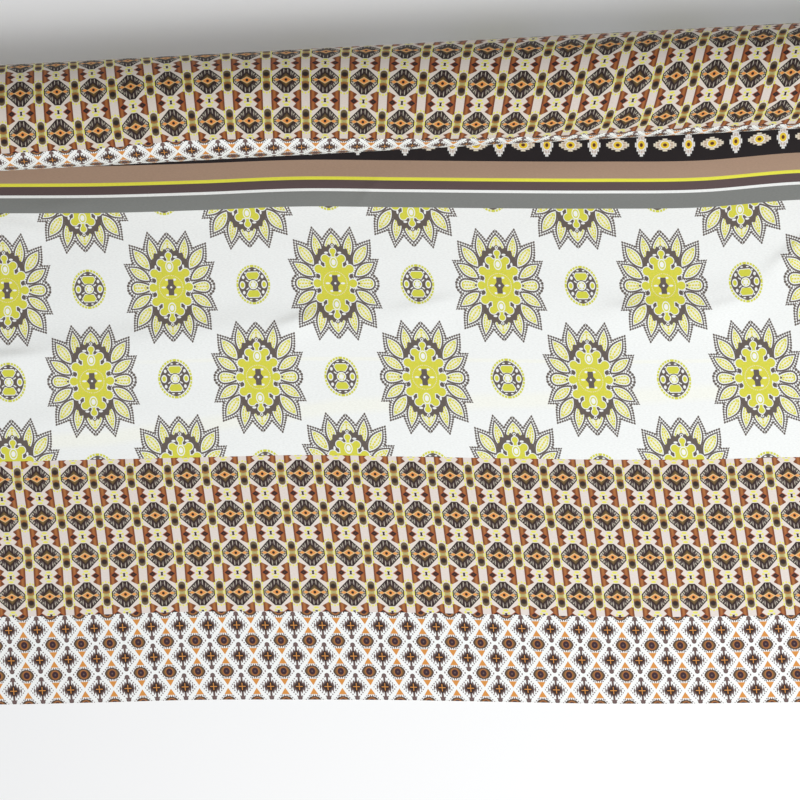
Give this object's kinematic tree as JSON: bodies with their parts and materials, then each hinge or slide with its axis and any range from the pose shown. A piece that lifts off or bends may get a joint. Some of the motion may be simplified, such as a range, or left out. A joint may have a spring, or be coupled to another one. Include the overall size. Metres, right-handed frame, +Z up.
{
  "type": "viscose fabric on the roll",
  "caption": "Printed viscose dress fabric wound in a roll, with its free end laid out face up in front of it and soft creases across.",
  "frame": {"origin": "on the table, in the middle of the footprint", "axes": "+X along the width of the cloth, +Y from the cut end to the roll, +Z up"},
  "size_m": [1.469, 0.53, 0.0835],
  "materials": {
    "printed_viscose": "printed plain weave, matt with a soft sheen",
    "wound_viscose": "cut and woven edges of wound layers"
  },
  "bodies": {
    "root": {"laid_length": "printed_viscose", "roll_outer_turn": "printed_viscose", "roll_body": "wound_viscose"}
  },
  "joints": []
}
